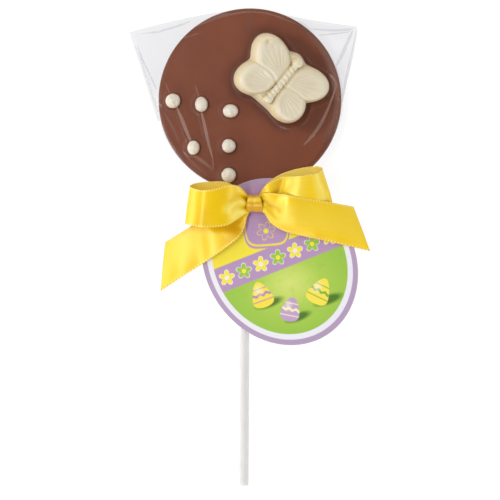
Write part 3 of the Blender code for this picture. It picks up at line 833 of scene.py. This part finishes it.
def pearl_sugar():
    shader = Shader("pearl")
    base = shader.mottled(shader.noise(500.0), colour(227, 217, 197), colour(239, 232, 216), 0.35)
    return shader.finish(
        Base_Color=base, Roughness=0.36, Specular_IOR_Level=0.5, Coat_Weight=0.25,
        Coat_Roughness=0.25, Subsurface_Weight=0.1, Subsurface_Scale=0.001,
        Normal=shader.bump(shader.noise(1300.0, 2.0), 0.05, 0.6))


def edge_reach(angles, start, end, bow):
    """Distance from the disc's centre to a straight edge in each direction, 0 beside it."""
    (x, y), (dx, dy) = start, (end[0] - start[0], end[1] - start[1])
    across = np.sin(angles) * dx - np.cos(angles) * dy
    across = np.where(np.abs(across) < 1e-9, 1e-9, across)
    share = (y * np.cos(angles) - x * np.sin(angles)) / across
    reach = (y * dx - x * dy) / across + 4 * bow * share * (1 - share)
    return np.where((share >= 0) & (share <= 1) & (reach > 0), reach, 0.0)


def bag_reach(angles):
    """Distance from the disc's centre to the flat bag's edge in each direction."""
    reach = np.full_like(angles, DISC_RADIUS + FILM_GAP)
    for edge in BAG_EDGES:
        reach = np.maximum(reach, edge_reach(angles, *edge))
    return reach


def rest_height(x, y, toppings):
    """What the front film lies on: the disc's rounded edge and face, and the toppings."""
    radius = np.hypot(x, y)
    into_edge = np.clip(radius - DISC_FLAT_RADIUS, 0.0, DISC_FILLET)
    edge = DISC_FACE - DISC_FILLET + np.sqrt(DISC_FILLET ** 2 - into_edge ** 2)
    height = np.where(radius <= DISC_RADIUS, edge, MID_HEIGHT)
    if toppings:
        along, across = butterfly_axes(x, y)
        relief = butterfly_relief(along, across - BUTTERFLY_LEAN)
        height = np.maximum(height, DISC_FACE + relief * (relief > 2.0))
        for pearl in PEARLS:
            dome = np.sqrt(np.maximum(1 - pearl_share(x, y, pearl) ** 2, 0.0))
            rise = (pearl[2] + pearl[3]) / 4 * (PEARL_RISE + PEARL_FLATTEN * dome)
            height = np.where(dome > 0.3, np.maximum(height, DISC_FACE + rise), height)
    return height + FILM_GAP


def mouth_height(x, y, start):
    """Half the height that the film stands open round the stick, below a place along Y."""
    across = (x - stick_x(y)) / MOUTH_HALF_WIDTH
    return MOUTH_HALF_HEIGHT * np.sqrt(np.maximum(1 - across ** 2, 0.0)) * (y < start)


class HeightMap:
    """Heights on a square grid over the bag, read between its points."""

    def __init__(self, step):
        self.step = step
        self.x, self.y = np.meshgrid(
            *(low + np.arange(int(size / step) + 1) * step for low, size in zip(MAP_LOW, MAP_SIZE)),
            indexing="ij")
        self.heights = None

    def at(self, x, y):
        rows, columns = self.x.shape
        i = np.clip((x - MAP_LOW[0]) / self.step, 0, rows - 1.001)
        j = np.clip((y - MAP_LOW[1]) / self.step, 0, columns - 1.001)
        i0, j0 = i.astype(int), j.astype(int)
        u, v = i - i0, j - j0
        near, far = self.heights[:, :-1], self.heights[:, 1:]
        return ((near[i0, j0] * (1 - u) + near[i0 + 1, j0] * u) * (1 - v)
                + (far[i0, j0] * (1 - u) + far[i0 + 1, j0] * u) * v)


def stretched_film(toppings):
    """Front film pulled taut over what it lies on, solved on finer and finer grids."""
    solved = None
    for step in MAP_STEPS:
        field = HeightMap(step)
        x, y = field.x, field.y
        radius = np.hypot(x, y)
        rest = rest_height(x, y, toppings)
        outside = radius > bag_reach(np.arctan2(y, x))
        rim = MID_HEIGHT + mouth_height(x, y, MOUTH_TOP)
        cling = FILM_CLING * step ** 2 * smooth_step(DISC_RADIUS - 1, DISC_RADIUS - 3, radius)
        field.heights = np.where(outside, rim, rest if solved is None else solved.at(x, y))
        for _ in range(MAP_ROUNDS):
            near = np.pad(field.heights, 1, mode="edge")
            total = near[2:, 1:-1] + near[:-2, 1:-1] + near[1:-1, 2:] + near[1:-1, :-2]
            field.heights = np.where(outside, rim, np.maximum((total - cling) / 4, rest))
        solved = field
    return solved


def film_height(film, x, y, seed):
    """Height of one film of the bag at any place inside the bag's edge."""
    radius = np.hypot(x, y)
    reach = bag_reach(np.arctan2(y, x))
    z = np.maximum(film.at(x, y), rest_height(x, y, False))
    flat = smooth_step(0.0, SEAM_WIDTH, reach - radius) + (reach < DISC_RADIUS + 1) * (y < 0)
    z = MID_HEIGHT + (z - MID_HEIGHT) * np.minimum(flat, 1.0)
    in_corner = smooth_step(DISC_RADIUS, DISC_RADIUS + 4, radius)
    in_corner *= smooth_step(0.0, 3.0, reach - radius)
    rise, length = CORNER_WAVES
    return z + rise * in_corner * ripples(x, y, length, seed)


def beyond_disc(x, y):
    return smooth_step(DISC_RADIUS - 0.5, DISC_RADIUS + 0.5, np.hypot(x, y))


def film_patch(film, sides, rows, seed, back=False):
    """Front or back film, from the bag's edge in to the middle of the disc."""
    angles = full_turn(sides, -pi)
    for x, y in (LEFT_CORNER, RIGHT_CORNER):
        exact = atan2(y, x)
        angles[np.argmin(np.abs(angles - exact))] = exact
    reach = bag_reach(angles)
    inwards = np.linspace(0.0, 1.0, rows)[1:, None] * FILM_INNERMOST
    radius = np.vstack([reach - FILM_EDGE_ROWS[:, None],
                        (reach - FILM_EDGE_ROWS[-1]) * (1 - inwards)])
    x, y = radius * np.cos(angles), radius * np.sin(angles)
    z = film_height(film, x, y, seed)
    z[0] = MID_HEIGHT + mouth_height(x[0], y[0], MOUTH_EDGE)
    if back:
        z = np.maximum(2 * MID_HEIGHT - z, FILM_FLOOR)
    return Patch(grid(x, y, z), wrap=True, crease_and_sheen=0.0, haze=beyond_disc(x, y))


def pleat_patch(film, start, end, strength, softness, *line):
    """A narrow pleat of doubled film that lies on the front film, with a painted sheen along it."""
    columns, rows = np.transpose(line)
    places = catmull_rom(grid(columns - PHOTO_COLUMN, PHOTO_ROW - rows) * PHOTO_PIXEL, 10)
    heading = unit(np.gradient(places, axis=0))
    across = grid(heading[:, 1], -heading[:, 0])
    along = np.linspace(0.0, 1.0, len(places))[:, None]
    half_width = start + (end - start) * along
    half_width = half_width * np.sin(pi * np.clip(along, 0.03, 0.97)) ** PLEAT_BLUNTNESS
    xy = places[:, None] + across[:, None] * (half_width * PLEAT_OFFSETS)[..., None]
    x, y = np.moveaxis(xy, -1, 0)
    z = film_height(film, x, y, FRONT_FILM[-1]) + PLEAT_LIFT
    z += PLEAT_SLOPE * half_width * (1 - PLEAT_OFFSETS ** 2)
    # painted sheen, strongest along the pleat's middle
    centre = 1 - softness * np.abs(PLEAT_OFFSETS) ** 1.5
    crease_and_sheen = strength * centre * (1 - softness * (1 - np.sin(pi * along)))
    return Patch(grid(x, y, z), crease_and_sheen=crease_and_sheen, haze=beyond_disc(x, y))


def skirt_patch():
    """Gathered neck and open pleated skirt below the tie."""
    y, half_width, half_height, pleat = catmull_rom(SKIRT_SECTIONS, 8).T[:, :, None]
    turn = full_turn(216)
    number, share, start = SKIRT_FINE_PLEATS
    fine = share * np.sin(number * turn + start)
    swell = 1 + pleat * (np.cos(SKIRT_PLEATS * turn + 0.5 * np.sin(2 * turn)) + fine) * 0.9
    x = stick_x(y) + half_width * swell * np.cos(turn)
    z = MID_HEIGHT + half_height * swell * np.sin(turn)
    number, height, start = HEM_WAVES
    hem = smooth_step(HEM_START, y[-1], y) * height * np.sin(number * turn + start)
    return Patch(grid(x, y + hem, z), wrap=True, crease_and_sheen=0.0, haze=1.0)


def make_film():
    front = stretched_film(True)
    patches = [film_patch(front, *FRONT_FILM),
               film_patch(stretched_film(False), *BACK_FILM, back=True), skirt_patch()]
    patches += [pleat_patch(front, *pleat) for pleat in PLEATS]
    film = on_root(build("film", clear_film(), *patches))
    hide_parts("bagged_chocolate")


def clear_film():
    """Thin clear film: it mirrors at a slant; its pleats carry a milky painted sheen for the light
    they mirror.
    """
    shader = Shader("film")
    crease_and_sheen, haze = shader.attribute("crease_and_sheen"), shader.attribute("haze")
    pale = colour(248, 248, 250)
    # painted sheen: over the chocolate the pleats turn pale pink, like the light they mirror there
    milk_and_sheen = shader.mix(haze, colour(250, 216, 202), pale)
    shader.finish(Base_Color=shader.mix(crease_and_sheen * 3.0, pale, milk_and_sheen), Roughness=0.28,
                  Metallic=1.0 - crease_and_sheen)
    slant = shader.add("LayerWeight", "Facing", {"Blend": 0.35}) ** 2.5
    # more of the milky painted sheen in the pleats
    share = slant.spread(0.0, 1.0, 0.016, 0.12) + crease_and_sheen * 0.15
    tint = shader.mix(haze, (0.965, 0.965, 0.97, 1.0), (0.918, 0.918, 0.925, 1.0))
    # painted shade: pleats beyond the disc let less light through
    tint = shader.mix(crease_and_sheen * haze, tint, (0.80, 0.80, 0.81, 1.0))
    clear = shader.add("BsdfTransparent", "BSDF", {"Color": tint})
    mirror = Value(shader, shader.surface.outputs["BSDF"])
    mixed = shader.add("MixShader", "Shader", (share, clear, mirror))
    shader.feed(shader.tree.nodes["Material Output"].inputs["Surface"], mixed)
    return shader.owner


def finish_stick():
    """Rolled white paper on the stick that the frame brings."""
    shader = Shader("rolled_paper")
    fibre = shader.noise(900.0, 4.0, 0.6, shader.stretched(shader.places(), (1.0, 0.25, 1.0)))
    turns = shader.axis("Y", shader.places()) * PAPER_TURNS_PER_METRE
    edge = shader.math("FRACT", turns).inside(0.03, 0.04)
    material = shader.finish(
        Base_Color=shader.mottled(fibre, colour(219, 218, 215), colour(224, 223, 221)),
        Roughness=0.6, Specular_IOR_Level=0.2, Subsurface_Weight=0.8,
        Subsurface_Radius=(1.0, 1.0, 1.0), Subsurface_Scale=0.003,
        Normal=shader.bump(fibre + edge * -0.6, 0.05, 0.3))
    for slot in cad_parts["stick"].material_slots:
        slot.material = material


def make_card():
    """Oval tag with a punched hole, cut as a flat curve and raised by its thickness."""
    slope = (CARD_BACK_TOP[1] - CARD_BACK_FOOT[1]) / (CARD_BACK_TOP[0] - CARD_BACK_FOOT[0])
    back = CARD_BACK_TOP[1] + slope * (CARD_CENTRE[1] - CARD_BACK_TOP[0])
    place = Vector((*CARD_CENTRE, back + CARD_THICKNESS / 2 + CARD_GAP)) * MM
    tilt = Matrix.Rotation(asin(slope), 4, "X") @ Matrix.Rotation(CARD_LEAN, 4, "Z")
    matrix = Matrix.Translation(place) @ tilt
    hole = matrix.inverted() @ Vector((CARD_HOLE[0] * MM, CARD_HOLE[1] * MM, place.z))
    curve = bpy.data.curves.new("card", "CURVE")
    curve.dimensions = "2D"
    curve.fill_mode = "BOTH"
    curve.extrude = (CARD_THICKNESS / 2 - CARD_ROUNDING) * MM
    curve.bevel_depth = CARD_ROUNDING * MM
    curve.bevel_resolution = 1
    rings = ((0.0, 0.0, CARD_HALF_WIDTH - CARD_ROUNDING, CARD_HALF_LENGTH - CARD_ROUNDING, 220),
             (hole.x / MM, hole.y / MM, CARD_HOLE_RADIUS, CARD_HOLE_RADIUS, 48))
    for x, y, half_width, half_length, sides in rings:
        spline = curve.splines.new("POLY")
        spline.points.add(sides - 1)
        spline.use_cyclic_u = True
        for turn, point in zip(full_turn(sides), spline.points):
            point.co = ((x + half_width * cos(turn)) * MM, (y + half_length * sin(turn)) * MM,
                        0.0, 1.0)
    outline = add_object("card_outline", curve)
    mesh = final_mesh(outline)
    bpy.data.objects.remove(outline)
    mesh.transform(matrix)
    mesh.materials.clear()
    mesh.materials.append(card_print())
    mesh.materials.append(card_board())
    for face in mesh.polygons:
        face.material_index = 0 if face.normal.z > 0.9 else 1
    card = on_root(add_object("card_tag", mesh))
    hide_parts("card")


class Print(Shader):
    """A card's printed side, drawn in millimetres from shapes about the card's centre."""

    def __init__(self, name):
        super().__init__(name)
        self.x, self.y = (self.axis(axis, self.places()) * (1 / MM) - middle
                          for axis, middle in zip("XY", CARD_CENTRE))
        self.colour = None

    def axes(self, angle, centre=(0.0, 0.0)):
        """Axes turned by an angle about a place."""
        return turned(self.x - centre[0], self.y - centre[1], angle)

    def away(self, x, y, half_width=1.0, half_height=1.0):
        """Distance from the axes' centre, in shares of an oval's half sizes."""
        place = self.add("CombineXYZ", 0, (x * (1 / half_width), y * (1 / half_height)))
        return self.add("VectorMath", "Value", (place,), operation="LENGTH")

    def lay(self, mask, ink):
        self.colour = self.mix(mask, self.colour, ink)

    def flower(self, x, y, radius, petals, inks):
        """Petals round a centre, with an outline."""
        away = self.away(x, y)
        petal = self.math("COSINE", self.math("ARCTAN2", y, x) * (petals / 2))
        beyond = away - (abs(petal) * 0.55 + 0.45) * radius
        self.lay(beyond.inside(0.3, 0.25), inks[0])
        self.lay(beyond.inside(0.0, 0.25), inks[1])
        self.lay(away.inside(radius * 0.3, 0.25), inks[2])

    def egg(self, centre, turn, size, ink, stripe):
        """A decorated egg with its shadow on the grass."""
        x, y = self.axes(0.35, (centre[0] + size * 0.62, centre[1] - size * 0.62))
        shadow = self.away(x, y, size * 1.05, size * 0.34)
        self.lay(shadow.inside(0.95, 0.6) * 0.85, colour(52, 101, 28))
        x, y = self.axes(turn, centre)
        away = self.away(x * (y * (0.016 * size) + 1.0), y, size * 0.72, size)
        body = away.inside(1.0, 0.05)
        self.lay(body, ink)
        wave = self.math("SINE", x * 2.2) * 0.35 + y
        self.lay(body * abs(wave).inside(0.55, 0.25), stripe)
        self.lay(body * abs(abs(y) - 2.5).inside(0.25, 0.2) * 0.8, stripe)
        x, y = self.axes(turn, (centre[0] - size * 0.22, centre[1] + size * 0.3))
        glow = self.away(x, y, size * 0.4, size * 0.5).inside(0.6, 1.0)
        self.lay(body * glow * 0.55, colour(255, 252, 225))

    def panel(self, ink, line):
        """Plain rounded panel, edged by a thin line, with one flower."""
        side, end = (abs(place * (1 / half)) ** 5.0 for place, half in
                     zip(self.axes(radians(4), PANEL_CENTRE), PANEL_HALF_SIZE))
        away = (side + end) ** 0.2
        self.lay(away.inside(1.0, 0.03), ink)
        self.lay(abs(away - 0.92).inside(0.025, 0.02), line)
        self.flower(*self.axes(0.3, (-5.6, 12.6)), 3.6, 6, (line, ink, line))


def card_print():
    """Purple border, white ring, yellow over green with a lilac band between them."""
    purple, white = colour(183, 159, 190), colour(240, 237, 245)
    lilac, yellow = colour(186, 150, 190), colour(250, 231, 62)
    green, lime = colour(158, 200, 74), colour(186, 214, 88)
    sheet = Print("card_print")
    glow = sheet.away(*sheet.axes(0.0, (4.2, -9.0)), 16.0, 13.0)
    sheet.colour = sheet.mix(glow.inside(0.9, 1.2), green, lime)
    sheet.lay(glow.inside(0.35, 0.9) * 0.8, colour(226, 232, 130))
    sheet.lay(sheet.noise(260.0).spread(0.55, 0.8, 0.0, 0.35), colour(140, 188, 60))
    sheet.egg((-7.5, -13.5), 0.35, 5.4, colour(250, 226, 74), colour(182, 140, 188))
    sheet.egg((4.5, -19.5), -0.2, 5.0, colour(196, 164, 204), colour(250, 240, 190))
    sheet.egg((16.5, -12.0), -0.45, 5.6, colour(252, 230, 84), colour(132, 182, 70))
    along, up = sheet.axes(BAND_TILT)
    sheet.lay(up.outside(BAND_TOP, 0.3), yellow)
    sheet.lay(up.inside(BAND_TOP, 0.3) * up.outside(BAND_FOOT, 0.3), lilac)
    for start, inks in ((0.0, (white, yellow, white)),
                        (FLOWER_PITCH / 2, (white, green, yellow))):
        place = sheet.math("MODULO", along + (3 * FLOWER_PITCH + start), FLOWER_PITCH)
        sheet.flower(place - FLOWER_PITCH / 2, up - BAND_MIDDLE, 3.1, 5, inks)
    rim = sheet.away(*sheet.axes(CARD_LEAN), CARD_HALF_WIDTH, CARD_HALF_LENGTH)
    sheet.lay(rim.outside(RING_SHARE, 0.008), white)
    sheet.panel(lilac, colour(248, 226, 70))
    sheet.lay(rim.outside(BORDER_SHARE, 0.008), purple)
    return sheet.finish(
        Base_Color=sheet.colour, Roughness=0.42, Specular_IOR_Level=0.4, Coat_Weight=0.15,
        Coat_Roughness=0.3, Normal=sheet.bump(sheet.noise(2200.0, 2.0), 0.015, 0.4))


def card_board():
    shader = Shader("card_board")
    fibre = shader.noise(1200.0, 4.0, 0.6)
    return shader.finish(
        Base_Color=shader.mottled(fibre, colour(232, 230, 226), colour(242, 240, 237)),
        Roughness=0.7, Specular_IOR_Level=0.3, Normal=shader.bump(fibre, 0.03, 0.4))


def fold_relief(run, share, width, fold):
    """Height, and painted shade or highlight, of one soft fold along a line on a strip."""
    run_a, share_a, run_b, share_b, spread_a, spread_b, height_a, height_b, tone = fold
    ends = np.interp([run_a, run_b], run, width) * (share_a, share_b)
    step = np.array([run_b - run_a, ends[1] - ends[0]])
    away_along = run[:, None] - run_a
    away_across = width[:, None] * share - ends[0]
    t = np.clip((away_along * step[0] + away_across * step[1]) / (step @ step), 0.0, 1.0)
    away = np.hypot(away_along - t * step[0], away_across - t * step[1])
    weight = bell(away, spread_a + (spread_b - spread_a) * t)
    return np.array([(height_a + (height_b - height_a) * t) * weight, tone * weight])


def strip_patch(stations, folds, camber, length_before):
    """A strip between two edges, arched across, with its folds, and how long it runs."""
    first, second = np.split(catmull_rom(stations, ROWS_PER_SPAN), 2, axis=1)
    middle = (first + second) / 2
    steps = np.linalg.norm(np.diff(middle, axis=0), axis=1)
    run = np.concatenate([[0.0], np.cumsum(steps)])
    across = second - first
    width = np.linalg.norm(across, axis=1)
    normal = unit(np.cross(np.gradient(middle, axis=0), across))
    normal *= np.sign(normal[ROWS_PER_SPAN, 2])
    share = np.linspace(0.0, 1.0, STRIP_COLUMNS + 1)
    rise, tone = sum(fold_relief(run, share, width, fold) for fold in folds)
    run_down = run[:, None]
    place = run_down + length_before
    height, length, seed = RIBBON_WAVES
    rise = rise + SELVEDGE_RISE * smooth_step(0.93, 0.97, np.abs(2 * share - 1))
    rise += height * ripples(place, share * RIBBON_WIDTH, length, seed)
    rise += camber * (1 - (2 * share - 1) ** 2) * smooth_step(3.0, 14.0, run_down)
    points = first[:, None] + across[:, None] * share[:, None] + normal[:, None] * rise[..., None]
    # painted shade in the folds and near the knot, and painted highlight where a fold's tone is
    # below 0
    at_knot = bell(np.maximum(run_down - 1.0, 0.0), 1.2)
    return Patch(points, lengths=grid(place, share * RIBBON_WIDTH),
                 painted_shade=np.maximum(np.clip(tone, 0.0, 1.0), 0.25 * at_knot),
                 painted_highlight=np.clip(-tone, 0.0, 1.0) * (1 - at_knot)), run[-1]


def knot_patch(length_before):
    """The ribbon drawn tight round the middle: a barrel with pleats that run round it."""
    turn = full_turn(120)
    place, radius = catmull_rom(KNOT_SECTIONS, 7).T[:, :, None]
    towards_disc, up = np.cos(turn), np.sin(turn)
    lean = place - 0.5 * towards_disc * (0.3 + place / 3) + 0.35 * up * (1 - (place / 3.4) ** 2)
    pleats = sum(height * np.abs(np.sin(pi * lean / pitch + start))
                 for height, pitch, start in KNOT_PLEATS)
    swell = radius + pleats * smooth_step(3.0, 2.2, np.abs(place)) - 0.03
    y = KNOT_HALF_Y * swell * towards_disc
    z = KNOT_HALF_Z * swell * up + KNOT_SLANT * y * (up > 0) * up
    # painted shade, darker at the knot's top and bottom edges and in its grooves, and a painted
    # highlight band along its upper side
    groove = smooth_step(0.55, 0.0, np.abs(np.sin(pi * lean / KNOT_PLEATS[1][1])))
    highlight_band = bell(towards_disc - 0.40, 0.26) * (up > 0) * smooth_step(3.2, 2.0, np.abs(place))
    painted_shade = 0.85 + 0.15 * np.abs(towards_disc) + 0.15 * groove - 0.7 * highlight_band
    return Patch(grid(lean, y, z) + KNOT_CENTRE, wrap=True,
                 lengths=grid(turn / (2 * pi) * KNOT_LENGTH + length_before,
                              place + RIBBON_WIDTH / 2),
                 painted_shade=np.clip(painted_shade, 0.0, 1.0), painted_highlight=0.35 * highlight_band)


def wrap_patch(length_before):
    """The turn of ribbon round the neck, crumpled into a narrow band."""
    turn = full_turn(96)
    place = np.linspace(-1.0, 1.0, 25)[:, None]
    crumple = 0.12 * np.sin(5.5 * pi * place + 0.6 * np.sin(2 * turn))
    radius = WRAP_RADIUS + crumple - 0.35 * place ** 4
    y = NECK_Y + WRAP_HALF_WIDTH * place
    points = grid(stick_x(y) + radius * np.cos(turn), y, MID_HEIGHT + radius * np.sin(turn))
    # painted shade all over the turn round the neck
    return Patch(points, wrap=True, painted_shade=0.6, painted_highlight=0.0,
                 lengths=grid(turn / (2 * pi) * WRAP_LENGTH + length_before,
                              (place + 1) * RIBBON_WIDTH / 2))


def stem_patch(length_before):
    """The ribbon's way up from the neck through the card's hole to the knot."""
    turn = full_turn(64)
    z = np.linspace(*STEM_HEIGHTS, 12)[:, None]
    radius = STEM_RADIUS * (1 + 0.12 * np.cos(6 * turn) + 0.04 * np.sin(11 * turn))
    points = grid(CARD_HOLE[0] + radius * np.cos(turn), CARD_HOLE[1] + radius * np.sin(turn), z)
    # painted shade all over the stem
    return Patch(points, wrap=True, painted_shade=0.8, painted_highlight=0.0,
                 lengths=grid(z + length_before, turn / (2 * pi) * RIBBON_WIDTH))


def make_ribbon():
    """One strip of satin: tail, turn round the neck, two loops, knot and the other tail."""
    length = 0.0
    patches = []
    for strip in STRIPS:
        patch, run = strip_patch(*strip, length)
        patches.append(patch)
        length += run
    patches += [knot_patch(length), wrap_patch(length), stem_patch(length)]
    bow = on_root(build("satin_bow", satin(), *patches))
    shell = bow.modifiers.new("thickness", "SOLIDIFY")
    shell.thickness = RIBBON_THICKNESS * MM
    shell.offset = 0.0
    bow.data = final_mesh(bow)
    bow.modifiers.clear()
    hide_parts("ribbon")


def satin():
    """Yellow satin: fine threads along the ribbon, and a woven edge with small ticks."""
    shader = Shader("satin")
    cloth = shader.add("UVMap", "UV", uv_map="cloth")
    along, across = shader.axis("X", cloth), shader.axis("Y", cloth)
    selvedge = (RIBBON_WIDTH / 2 - abs(across - RIBBON_WIDTH / 2)).inside(SELVEDGE_WIDTH, 0.25)
    ticks = shader.math("SINE", along * (2 * pi / TICK_PITCH)).spread(-0.2, 0.5) * 0.75
    threads = shader.math("SINE", across * (2 * pi / THREAD_PITCH)) * 0.5 + 0.5
    streaks = shader.noise(1.0, 3.0, 0.6, shader.stretched(cloth, (0.12, 2.4, 1.0)))
    base = shader.mottled(streaks, colour(244, 199, 6), colour(248, 206, 12))
    # deep orange where the painted shade lies, pale yellow where the painted highlight lies
    base = shader.mix(shader.attribute("painted_shade"), base, colour(216, 156, 4))
    base = shader.mix(shader.attribute("painted_highlight"), base, colour(252, 235, 116))
    base = shader.mix(selvedge * 0.35, base, colour(230, 172, 14))
    base = shader.mix(selvedge * ticks, base, colour(255, 235, 140))
    return shader.finish(
        Base_Color=base, Roughness=0.29, IOR=1.6, Specular_IOR_Level=0.9,
        Specular_Tint=(1.0, 0.97, 0.42, 1.0), Anisotropic=0.85, Anisotropic_Rotation=0.25,
        Tangent=shader.add("Tangent", "Tangent", direction_type="UV_MAP", uv_map="cloth"),
        Sheen_Weight=0.02, Sheen_Roughness=0.4, Sheen_Tint=(1.0, 0.92, 0.6, 1.0),
        Normal=shader.bump(selvedge * ticks + threads * 0.25, 0.06, 0.5))


def make_floor():
    """White table that stays white under the part."""
    ends = np.linspace(-FLOOR_HALF_SIZE, FLOOR_HALF_SIZE, 5)
    shader = Shader("table")
    tone = shader.mix(shader.noise(6.0, 2.0), (0.2, 0.2, 0.2, 1.0), (0.22, 0.22, 0.22, 1.0))
    table = shader.finish(Base_Color=tone, Roughness=0.6, Specular_IOR_Level=0.0,
                          Emission_Color=(1.0, 1.0, 1.0, 1.0), Emission_Strength=FLOOR_GLOW)
    build("floor", table, Patch(grid(ends, ends[:, None], 0.0)))


def make_surroundings():
    """Soft studio: pale low down, darker overhead where flat film would mirror it."""
    shader = Shader("studio", "worlds", "Background")
    up = shader.axis("Z", shader.add("TexCoord", "Generated"))
    sky = shader.mix(up.spread(0.0, 0.9), (1.0, 1.0, 1.0, 1.0), (0.12, 0.12, 0.12, 1.0))
    scene = bpy.context.scene
    scene.world = shader.finish(Color=sky, Strength=SKY_STRENGTH)
    scene.view_settings.view_transform = "Standard"
    for name, place_m, size_m, watts in LIGHTS:
        lamp = bpy.data.lights.new(name, "AREA")
        lamp.shape = "RECTANGLE"
        lamp.size, lamp.size_y = size_m
        lamp.energy = watts
        made = add_object(name, lamp)
        made.location = place_m
        aim = Vector(LIT_PLACE_M) - Vector(place_m)
        made.rotation_euler = aim.to_track_quat("-Z", "Y").to_euler()


def make_camera():
    camera = bpy.data.cameras.new("camera")
    camera.sensor_width = 36.0
    camera.lens = CAMERA_LENS
    made = add_object("camera", camera)
    made.location = CAMERA_PLACE_M
    bpy.context.scene.camera = made


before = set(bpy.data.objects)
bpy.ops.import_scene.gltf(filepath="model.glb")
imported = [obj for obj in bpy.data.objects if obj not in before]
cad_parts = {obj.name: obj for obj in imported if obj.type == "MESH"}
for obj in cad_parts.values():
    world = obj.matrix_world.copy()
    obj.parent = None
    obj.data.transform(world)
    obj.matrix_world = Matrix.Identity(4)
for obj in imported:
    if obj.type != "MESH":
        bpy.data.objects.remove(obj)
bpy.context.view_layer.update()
make_camera()
make_surroundings()
make_floor()
make_disc()
make_butterfly()
make_pearls()
make_film()
finish_stick()
make_card()
make_ribbon()
